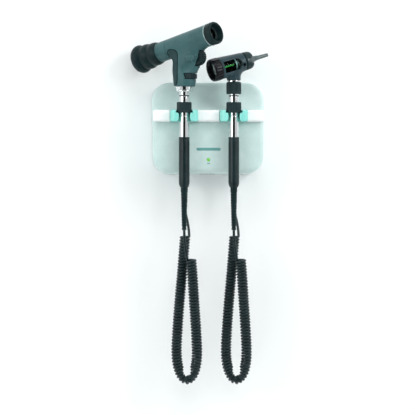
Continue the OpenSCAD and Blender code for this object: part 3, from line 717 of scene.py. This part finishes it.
def add_handle(side):
    place, body = at_handle[side], side + "_handle"
    tube = [[BORE, GRIP_LO + 6], [8.6, GRIP_LO + 6], [8.6, GRIP_HI - 0.2], [TUBE_R, GRIP_HI],
            [TUBE_R, 18.8], [GROOVE_R, 19.2], [GROOVE_R, 20], [TUBE_R, 20.4],
            [TUBE_R, NOTCH_Z - 1], [GROOVE_R, NOTCH_Z - 0.6], [GROOVE_R, NOTCH_Z + 0.6], [TUBE_R, NOTCH_Z + 1],
            [TUBE_R, 66.2], [TUBE_R - 0.8, 67], [BORE, 67]]
    thing = turned_piece(side + "_handle_tube", place, tube, body, "chrome", [side + "_tube"], soft=0.25)
    turned_piece(side + "_handle_seal", place, [
        [GROOVE_R + 0.02, NOTCH_Z - 0.5], [GROOVE_R + 0.4, NOTCH_Z - 0.5], [GROOVE_R + 0.4, NOTCH_Z + 0.5],
        [GROOVE_R + 0.02, NOTCH_Z + 0.5]], body, "black_rubber", soft=0.15)
    for angle in (-NOTCH_A, NOTCH_A):
        ray = np.array([[5, 0, NOTCH_Z], [12, 0, NOTCH_Z]]) @ turned(angle - 90).T
        drill(thing, *(place(ray)), 1.25 * MM)
        # A near-black disc sits inside each drilled hole: painted shade for the hole's dark inside.
        name = side + ("_left" if angle < 0 else "_right") + "_hole_shade_disc"
        aside = place.rotation @ turned(angle - 90) @ np.array([[0, 0, 1], [0, 1, 0], [-1, 0, 0]])
        turned_piece(name, Place(place([0, 0, NOTCH_Z]), aside), [[0, 7.2], [1.2, 7.2], [1.2, 8], [0, 8.1]],
                     body, "painted_shade_black", slot="black_rubber", segments=24, soft=0.1)
    thing.data.set_sharp_from_angle(angle=radians(40))
    turned_piece(side + "_dimmer_ring", place, sleeve(TUBE_R + 0.1, 12.75, 25, 43.2, 0.85, 0.8),
                 side + "_dimmer", "black_plastic", [side + "_dimmer"], segments=240, soft=0.5, slice_at=1.2,
                 ripple=flutes(24, 0.55, 26.8, 41.4, 12))
    turned_piece(side + "_handle_grip", place, [
        [TUBE_R, GRIP_HI], [8.95, GRIP_HI], [9.2, GRIP_HI - 0.9], [9.2, GRIP_HI - 4], [8.9, GRIP_HI - 4.4],
        [8.9, GRIP_HI - 5], [9.2, GRIP_HI - 5.4], [9.2, GRIP_LO + 8], [8.7, GRIP_LO + 4.5], [6.9, GRIP_LO],
        [4.3, GRIP_LO], [4.3, GRIP_LO + 5.8], [TUBE_R, GRIP_LO + 5.8]], body, "cord", [side + "_grip"],
        slot="black_rubber", soft=0.5, slice_at=2.5)
    relief = [[0, -173], [4.2, -173], *ribs(-107, -168, 5.9, 4.3, 13), [5.9, -101.1], [4.2, -101.1],
              [4.2, -94], [6.8, -94], [6.8, -91], [0, -91]]
    turned_piece(side + "_handle_relief", place, relief, body, "black_rubber", [side + "_relief"], segments=48,
                 soft=0.25)


for side in ("oto", "pan"):
    add_handle(side)


# ---------- otoscope head ----------
# Distances along the barrel are from the handle's centreline, + towards the patient.

BACK_R, FRONT_R = 19, 16
RING_X0, RING_X1 = -43.5, -29.5
BODY_X1 = 17.4
WINDOW_X0, WINDOW_R = -25.5, 9.6
PORT_X, PORT_Z = 12.5, -4
TIP_X1, SPEC_X1 = 33, 65.5
NECK_LOW = 79.9 - joint["oto_focus_turn"]["pos_m"][2] / MM
up_in_oto = at_oto.rotation.T @ [0, 0, 1]


def window(x, z, grow=0.0):
    """Distance to the side window's outline, a rectangle with one round end."""
    low, high = WINDOW_X0 - grow, -1.1
    flat = round_box(x - (low + high + 4) / 2, z, (high + 4 - low) / 2, WINDOW_R + grow, 1.2)
    return np.where(x > high, np.hypot(x - high, z) - WINDOW_R - grow, np.maximum(flat, x - high - 3.9))


def housing(p):
    x, y, z = p.T
    rho = np.hypot(y, z)
    outer = BACK_R + (FRONT_R - BACK_R) * np.clip((x + 28.5) / (BODY_X1 - 0.8 + 28.5), 0, 1)
    body = blend_max((rho - outer) * 0.997, between(x, RING_X1 + 0.3, BODY_X1), 1.6)
    height = p @ up_in_oto
    radial = np.linalg.norm(p - height[:, None] * up_in_oto, axis=1)
    neck_r = 11.6 + 2.2 * np.clip((height - NECK_LOW - 5) / 9, 0, 1) ** 1.5
    neck = blend_max(radial - neck_r, between(height, NECK_LOW, 2), 0.8)
    solid = blend_min(body, neck, 5)
    rim = np.abs(window(x, z)) - 0.9
    raised = np.maximum(rim, np.maximum(rho - outer - 0.45, 12 - rho))
    solid = blend_min(solid, raised, 0.7)
    bore = 16.9 + (14.6 - 16.9) * np.clip((x + 26) / 41, 0, 1)
    inner = np.maximum(rho - bore, between(x, -31, BODY_X1 - 2))
    cuts = [inner, np.maximum(rho - 10.2, between(x, 10, 19)),
            np.maximum(window(x, z), 6 - np.abs(y)),
            np.maximum(np.hypot(x - PORT_X, z - PORT_Z) - 2.6, y + 8),
            np.maximum(radial - 9.8, height - NECK_LOW - 15)]
    for cut in cuts:
        solid = blend_max(solid, -cut, 0.6)
    return solid


def panes(p):
    x, y, z = p.T
    middle = 16.2 + (14.2 - 16.2) * np.clip((x + 25.5) / 33.8, 0, 1)
    sheet = np.maximum(np.abs(np.hypot(y, z) - middle) - 0.6, 4 - np.abs(y))
    return blend_max(sheet, window(x, z) + 0.15, 0.3)


def tip_grip(p):
    x, y, z = p.T
    rho = np.hypot(y, z)
    outer = np.interp(x, [BODY_X1, BODY_X1 + 1.6, TIP_X1 - 7, TIP_X1 - 3.5, TIP_X1],
                      [15, 15.6, 15.3, 14.7, 13.2])
    bore = np.interp(x, [BODY_X1, BODY_X1 + 6, TIP_X1], [12.2, 12.1, 11.2])
    solid = blend_max(rho - outer, between(x, BODY_X1 + 0.3, TIP_X1), 1.8)
    solid = blend_max(solid, bore - rho, 0.8)
    side_cut = blend_max(np.maximum(BODY_X1 + 4 - x, 7 - np.abs(y)), np.abs(z) - 5, 3)
    solid = blend_max(solid, -side_cut, 1.2)
    groove = np.maximum(np.abs(x - BODY_X1 - 2.4) - 0.35, 15.1 - rho)
    return blend_max(solid, -groove, 0.3)


def lens_outline(r, x, thick, bulge):
    steps = np.linspace(0, 1, 9)
    back = [[r * t, x - bulge * (1 - t * t)] for t in steps]
    return back + [[r * t, x + thick + bulge * (1 - t * t)] for t in steps[::-1]]


def add_oto_head():
    handle = at_handle["oto"]
    sculpted("oto_head_housing", at_oto, housing, (RING_X1, -20, -33), (BODY_X1 + 12, 20, 21), 0.75, "oto_head",
             "slate_dark", ["oto_housing"])
    turned_piece("oto_focus_grip", at_oto, [
        [14.1, RING_X0 + 5], [15.8, RING_X0 + 1.4], [17, RING_X0], [18.2, RING_X0], [19.1, RING_X0 + 1.1],
        [19.5, RING_X0 + 3.4], [19.6, RING_X1 - 2], [19.2, RING_X1], [16.8, RING_X1], [16.8, RING_X1 + 3],
        [14.1, RING_X1 + 3]], "oto_focus", "gloss_black",
        ["oto_focus_ring"], slot="black_rubber", along_x=True, segments=192, soft=0.7, slice_at=1.2,
        ripple=flutes(16, 0.45, RING_X0 + 1.5, RING_X1 - 0.6, 18, 2.2))
    turned_piece("oto_eyepiece_lens", at_oto, lens_outline(13.9, RING_X0 + 6.6, 1.6, 0.9), "oto_focus",
                 "lens_glass", ["oto_eye_lens"], along_x=True, segments=64, soft=0)
    # The lens tube behind the windows is near-black: painted shade for the dark inside of the housing.
    turned_piece("oto_lens_tube", at_oto, [
        [11.4, -26], [12.9, -26], [12.9, -23], [12.6, -22.6], [12.6, -5], [13.2, -4.4], [13.2, 0.6],
        [12.9, 0.8], [12.9, -3], [11.4, -3]], "oto_carriage", "painted_shade_black", ["oto_carriage"],
        slot="black_plastic", along_x=True, soft=0.2)
    # A pale ring round the front lens: a painted highlight on the lens edge.
    turned_piece("oto_lens_rim_highlight", at_oto, [[13.25, -1.9], [13.25, 0.5], [13.45, 0.5], [13.45, -1.9]],
                 "oto_carriage", "pale_trim_and_highlight", slot="steel", along_x=True, soft=0.05)
    # The green scale strips glow faintly: a painted glow on the carriage.
    for side in (-1, 1):
        strip = lambda p, s=side: blend_max(round_box(p[:, 0] + 14.2, p[:, 2] - 0.6, 8.6, 1.0, 0.8),
                                            between(s * p[:, 1], 12.45, 13.1), 0.3)
        low, high = (-24, min(12 * side, 13.5 * side), -1), (-5, max(12 * side, 13.5 * side), 2.2)
        sculpted(f"oto_focus_scale_{'near' if side < 0 else 'far'}", at_oto, strip, low, high, 0.3,
                 "oto_carriage", "scale_green_painted_glow")
    turned_piece("oto_objective", at_oto, lens_outline(12.85, -2.8, 2.6, 1), "oto_carriage", "lens_glass",
                 ["oto_front_lens"], along_x=True, segments=64, soft=0)
    sculpted("oto_window_panes", at_oto, panes, (-26, -17.5, -10), (9, 17.5, 10), 0.6, "oto_head",
             "window_glass", ["oto_windows"])
    # The air port is near-black: painted shade for its dark inside.
    port = Place(at_oto([PORT_X, -10, PORT_Z]), at_oto.rotation @ ONTO_Y)
    turned_piece("oto_air_port", port, [[1.5, 0], [2.5, 0], [2.5, 6.2], [2.3, 6.9], [1.7, 7], [1.5, 6.4]],
                 "oto_head", "painted_shade_black", ["oto_port"], slot="black_rubber", segments=40, soft=0.15)
    sculpted("oto_tip_ring", at_oto, tip_grip, (BODY_X1, -16, -16), (TIP_X1, 16, 16), 0.6, "oto_tip",
             "black_plastic", ["oto_tip_grip"])
    turned_piece("oto_ear_tip", at_oto, [
        [9.9, BODY_X1 + 1.5], [10.9, BODY_X1 + 1.5], [10.9, BODY_X1 + 3], [10.2, BODY_X1 + 8],
        [8.6, TIP_X1 - 1], [5.9, TIP_X1 + 4], [4.4, TIP_X1 + 8.5], [3.7, TIP_X1 + 13.5],
        [3.1, SPEC_X1 - 2.4], [3.1, SPEC_X1 - 0.6], [2.8, SPEC_X1], [2.2, SPEC_X1],
        [2.6, TIP_X1 + 14], [3.3, TIP_X1 + 8], [7.4, TIP_X1], [9.3, BODY_X1 + 6]],
        "oto_speculum", "speculum_grey", ["oto_speculum"], along_x=True, segments=72, soft=0.8, slice_at=2)
    turned_piece("oto_collar", handle, sleeve(SOCKET_R + 0.1, 12.6, 56.6, 77, 0.9, 0.9),
                 "oto_lock_collar", "black_plastic", ["oto_lock_collar"], segments=288, soft=0.5, slice_at=1,
                 ripple=flutes(36, 0.5, 58.4, 75.2, 12))
    turned_piece("oto_head_base", handle, [
        [8.75, 58.4], [10.2, 58.4], [SOCKET_R, 59], [SOCKET_R, 77.2], [11.5, 77.2], [11.5, 79.7], [9.7, 79.7],
        [9.7, 86], [5.2, 86], [5.2, 68], [8.75, 68]], "oto_head", "chrome", ["oto_base"], soft=0.3)


add_oto_head()


# ---------- ophthalmoscope head ----------
# Distances along the barrel are from the handle's centreline, + towards the doctor. Neck points are
# [along the head, across it, height].

NOSE_X, EYE_X, BOOT_X = -30, 56, 71.5
CUP_X, RIM_X, CUP_END_X = -52.4, -86, -101.5
NECK_Z = 69.2
WHEEL_U, WHEEL_Z, WHEEL_R, WHEEL_W = 30, 118, 14, 12
DIAL_U, DIAL_R, DIAL_LO, DIAL_HI = 10.4, 13.5, 82.1, 90.8
PANEL_U, PANEL_LO, PANEL_HI = -2, 70.5, 131.5
# Height, middle, half length and half width of the neck's ovals.
NECK = np.array([[69.2, 0.8, 18.6, 16.5], [77, 1, 20.2, 17], [86, 1.1, 21, 17.3], [96, 2.4, 24, 17.3],
                 [107, 7, 28.5, 17.3], [118, 8.2, 29.6, 17.2], [128, 9, 30, 17], [141.5, 13, 30, 15]])


def barrel_points(p):
    """Distance along the barrel and from its axis, of points in the neck's axes."""
    t = radians(PAN_TILT)
    h = p[:, 2] - PAN_Z
    along = p[:, 0] * cos(t) + h * sin(t)
    return along, np.hypot(p[:, 1], h * cos(t) - p[:, 0] * sin(t))


def barrel_radius(b):
    return 17.2 + 1.5 * np.clip((b - NOSE_X) / (EYE_X - 1 - NOSE_X), 0, 1)


def head_block(p):
    u, v, z = p.T
    b, rho = barrel_points(p)
    barrel = blend_max(rho - barrel_radius(b), between(b, NOSE_X, EYE_X), 1.2)
    middle, half_u, half_v = (np.interp(z, NECK[:, 0], NECK[:, k]) for k in (1, 2, 3))
    x, y = (u - middle) / half_u, v / half_v
    k = np.sqrt(x * x + y * y) + 1e-9
    oval = (k - 1) * k / (np.sqrt((x / half_u) ** 2 + (y / half_v) ** 2) + 1e-9)
    neck = blend_max(oval * 0.9, between(z, NECK_Z, 141), 1.6)
    whole = blend_min(barrel, neck, 9)
    start, end = np.array([37, 18.5, 108]), np.array([17, 24, 96])
    across = np.stack([u, np.abs(v), z], 1) - start
    line = end - start
    share = np.clip(across @ line / (line @ line), 0, 1)
    scoop = np.linalg.norm(across - share[:, None] * line, axis=1) - 12
    whole = blend_max(whole, -scoop, 5)
    from_mound = (np.stack([u, np.abs(v), z], 1) - [24.5, 13.8, 117.5]) / [1.05, 0.9, 0.9]
    return blend_min(whole, (np.linalg.norm(from_mound, axis=1) - 7.8) * 0.75, 2.5)


def panel_area(p):
    """Distance to the side view of the front panel."""
    u, z = p[:, 0], p[:, 2]
    low, high = -60, PANEL_U
    area = round_box(u - (low + high) / 2, z - (PANEL_LO + PANEL_HI) / 2, (high - low) / 2,
                     (PANEL_HI - PANEL_LO) / 2, 9)
    return np.maximum(area, blend_max(-24 - u, z - PANEL_HI, 8))


def head_solid(p):
    u, v, z = p.T
    b, rho = barrel_points(p)
    whole = head_block(p)
    whole = blend_max(whole, -np.maximum(panel_area(p) - 0.9, -whole - 2), 0.8)
    wheel = np.maximum(np.hypot(u - WHEEL_U, z - WHEEL_Z) - WHEEL_R - 0.9, np.abs(v) - WHEEL_W / 2 - 0.7)
    dial = np.maximum(np.hypot(u - DIAL_U, v) - DIAL_R - 0.6, between(z, DIAL_LO - 0.7, DIAL_HI + 0.7))
    cuts = [wheel, dial, rho - 15.1, np.maximum(np.hypot(u, v) - 9.8, z - 80),
            np.maximum(np.hypot(u, v) - 4, z - 130)]
    for cut in cuts:
        whole = blend_max(whole, -cut, 0.9)
    return whole


def shell_half(side):
    def field(p):
        return blend_max(head_solid(p), 0.12 - side * p[:, 1], 0.7)
    return field


def front_panel(p):
    whole = head_block(p)
    return blend_max(np.maximum(whole - 0.25, -whole - 1.7), panel_area(p), 1.2)


def eyecup_fold(x0, x1, r0, r1, rise, steps=10):
    """Outline points of one rubber fold, as [radius, distance]."""
    share = np.linspace(0, 1, steps)
    swell = rise * np.sin(pi * share)
    return np.stack([r0 + (r1 - r0) * share + swell, x0 + (x1 - x0) * share], 1).tolist()


def add_pan_head():
    handle = at_handle["pan"]
    for name, side in (("left", -1), ("right", 1)):
        low, high = (-40, 0 if side > 0 else -21, NECK_Z - 1), (64, 21 if side > 0 else 0, 182)
        sculpted("pan_case_" + name, at_pan_neck, shell_half(side), low, high, 0.85, "pan_head",
                 "slate_plastic", ["pan_shell_" + name])
    sculpted("pan_grip_panel", at_pan_neck, front_panel, (-26, -20, PANEL_LO - 1), (0, 20, PANEL_HI + 1), 0.7,
             "pan_head", "panel", ["pan_front_panel"])
    turned_piece("pan_collar", handle, [
        [8.75, 60.4], [13.3, 60.4], [13.9, 61.2], [14, 62.4], [13.7, 62.8], [14, 63.3], [14.4, 65],
        [16.2, 68.9], [SOCKET_R + 0.1, 68.9], [SOCKET_R + 0.1, 64], [8.75, 64]], "pan_lock_ring", "chrome",
        ["pan_lock_ring"], soft=0.3, slice_at=1.5)
    turned_piece("pan_nose_ring", at_pan, [
        [15, NOSE_X + 4.8], [12.8, NOSE_X + 4.8], [12.8, CUP_X - 4], [14.6, CUP_X - 4], [14.6, CUP_X],
        [16.8, CUP_X], [16.9, CUP_X + 3.2], [16.5, CUP_X + 3.5], [16.5, CUP_X + 4.1], [16.9, CUP_X + 4.4],
        [17.15, NOSE_X - 0.15], [15, NOSE_X - 0.15]], "pan_head", "slate_plastic", ["pan_nose"], along_x=True,
        soft=0.35)
    bellows = (eyecup_fold(CUP_X - 0.1, CUP_X - 16.6, 17.2, 18.9, 1.7)
               + eyecup_fold(CUP_X - 16.6, RIM_X + 0.1, 18.9, 20.3, 2)[1:]
               + [[17, RIM_X + 0.1], [15.6, RIM_X + 9], [16.4, CUP_X - 17], [14.8, CUP_X - 5],
                  [14.8, CUP_X - 0.1]])
    thing = turned_piece("pan_eyecup_folds", at_pan, bellows, "pan_head", "black_rubber", ["pan_eyecup"],
                         along_x=True, soft=0.3)
    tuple(at_pan([CUP_X, 0, 0]))
    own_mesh(thing)
    rim = (eyecup_fold(RIM_X, CUP_END_X, 20.3, 21.8, 3.2, 14)
           + [[21.2, CUP_END_X], [19.6, CUP_END_X + 0.4], [18.2, CUP_END_X + 5], [17, RIM_X]])
    turned_piece("pan_eyecup_lip", at_pan, rim, "pan_eyecup_rim", "black_rubber", ["pan_eyecup_rim"],
                 along_x=True, soft=0.5)
    turned_piece("pan_eyepiece_boot", at_pan, [
        [15.1, EYE_X - 4.8], [13.2, EYE_X - 4.8], [13.2, EYE_X + 2.6], [10.2, EYE_X + 3.2], [9.8, EYE_X + 3.8],
        [10.2, EYE_X + 4.6], [12.4, EYE_X + 6], [14.2, BOOT_X - 5], [15.6, BOOT_X - 1.2], [17, BOOT_X],
        [18.4, BOOT_X - 0.8], [19.2, BOOT_X - 3], [19.3, BOOT_X - 7], [18.9, EYE_X + 3], [18.6, EYE_X + 1.9],
        [18.4, EYE_X + 1.7], [18.4, EYE_X + 0.1], [15.1, EYE_X + 0.1]], "pan_head", "black_rubber",
        ["pan_boot"], along_x=True, soft=0.8, slice_at=2)
    turned_piece("pan_boot_trim", at_pan, [[18.45, EYE_X + 0.15], [19.1, EYE_X + 0.15], [19.5, EYE_X + 0.8],
                                           [19.1, EYE_X + 1.6], [18.45, EYE_X + 1.6]],
                 "pan_head", "pale_trim_and_highlight", slot="steel", along_x=True, soft=0.15)
    turned_piece("pan_eyepiece_lens", at_pan, lens_outline(12.9, EYE_X - 0.6, 2, 0.8), "pan_head", "lens_glass",
                 along_x=True, segments=64, soft=0)
    wheel = [[1.6, -6], [3.2, -6], [3.6, -5.2], [7.5, -5.2], [8.5, -6], [12.9, -6], [14, -4.9], [14, 4.9],
             [12.9, 6], [8.5, 6], [7.5, 5.2], [3.6, 5.2], [3.2, 6], [1.6, 6]]
    turned_piece("pan_wheel", at_wheel, wheel, "pan_focus_wheel", "black_rubber", ["pan_focus_wheel"],
                 segments=192, soft=0.4, slice_at=1.2, ripple=flutes(24, 1.1, -6.2, 6.2, 12.5, 0.6))
    dial_mid = (DIAL_LO + DIAL_HI) / 2 - joint["pan_aperture_turn"]["pos_m"][2] / MM
    low, high = dial_mid - (DIAL_HI - DIAL_LO) / 2, dial_mid + (DIAL_HI - DIAL_LO) / 2
    turned_piece("pan_dial", at_dial, sleeve(2.1, DIAL_R, low, high, 0.9, 0.8), "pan_aperture_dial",
                 "black_plastic", ["pan_aperture_dial"], segments=192, soft=0.3, slice_at=1.2,
                 ripple=flutes(24, 0.8, low, high, 12.8, 0.6))


add_pan_head()


# ---------- stage and light ----------

def plain(name, shade, rough):
    """A plain pale stage finish that can't be seen from behind."""
    material, add, _ = shader(name, **{
        "Base Color": [shade - 0.03, shade, shade, 1], "Roughness": rough, "Specular IOR Level": 0.1,
        "Emission Color": [1, 1, 1, 1], "Emission Strength": 0.06})
    tree = material.node_tree
    mix = add("MixShader", {0: add("NewGeometry").outputs["Backfacing"],
                            1: tree.nodes["Principled BSDF"].outputs[0], 2: add("BsdfTransparent").outputs[0]})
    tree.links.new(mix.outputs[0], tree.nodes["Material Output"].inputs["Surface"])
    return material


def add_stage():
    size, floor_z, wall_y, front_y = 4.0, -0.9, 0.001, -0.5
    for name, near, far in (("wall", (wall_y, floor_z), (wall_y, size)),
                            ("floor", (front_y, floor_z), (wall_y, floor_z))):
        corners = [(-size, *near), (size, *near), (size, *far), (-size, *far)]
        mesh = bpy.data.meshes.new(name)
        mesh.from_pydata(corners, [], [(0, 1, 2, 3)])
        mesh.materials.append(plain("stage_" + name, 0.93, 0.9))
        thing = bpy.data.objects.new(name, mesh)
        bpy.context.scene.collection.objects.link(thing)


def add_light(name, where, size, power, glossy=True):
    data = bpy.data.lights.new(name, "AREA")
    data.shape = "RECTANGLE"
    data.size, data.size_y = size
    data.energy = power
    thing = bpy.data.objects.new(name, data)
    thing.location = where
    thing.visible_glossy = glossy
    target = np.array([0, 0, -0.1]) - where
    thing.rotation_euler = Vector(target).to_track_quat("-Z", "Z").to_euler()
    bpy.context.scene.collection.objects.link(thing)


def add_world():
    """Even pale light from all round, with a dark gap in front that only reflections show."""
    world = bpy.data.worlds.new("world")
    bpy.context.scene.world = world
    world.use_nodes = True
    tree = world.node_tree
    add = adder(tree)
    split = add("SeparateXYZ", {0: add("TexCoord").outputs["Generated"]})
    front = add("Math", {0: split.outputs["Y"], 1: -1}, operation="MULTIPLY")
    bearing = add("Math", {0: split.outputs["X"], 1: front.outputs[0]}, operation="ARCTAN2")
    away = add("Math", {0: bearing.outputs[0]}, operation="ABSOLUTE")
    reach = add("MapRange", {"Value": away.outputs[0], "From Min": 0.36, "From Max": 0.5, "To Min": 0.02,
                             "To Max": 1.0}, interpolation_type="SMOOTHSTEP")
    either = add("Math", {0: reach.outputs[0], 1: add("LightPath").outputs["Is Camera Ray"]},
                 operation="MAXIMUM")
    strength = add("Math", {0: either.outputs[0], 1: 0.72}, operation="MULTIPLY")
    background = tree.nodes["Background"]
    tree.links.new(strength.outputs[0], background.inputs["Strength"])
    background.inputs["Color"].default_value = (0.97, 0.99, 1.0, 1)


add_stage()
add_world()
add_light("key", np.array([1.7, -1.5, 1.0]), (0.9, 1.2), 24)
add_light("fill", np.array([-1.7, -1.3, 0.5]), (0.9, 1.6), 14)
add_light("top", np.array([0.1, -1.3, 1.8]), (1.4, 0.7), 12)
add_light("front", np.array([0.3, -2.4, 0.7]), (1.6, 1.0), 8, glossy=False)
add_light("low", np.array([0, -1.7, -1.2]), (1.6, 0.8), 6, glossy=False)
bpy.context.scene.view_settings.view_transform = "Standard"
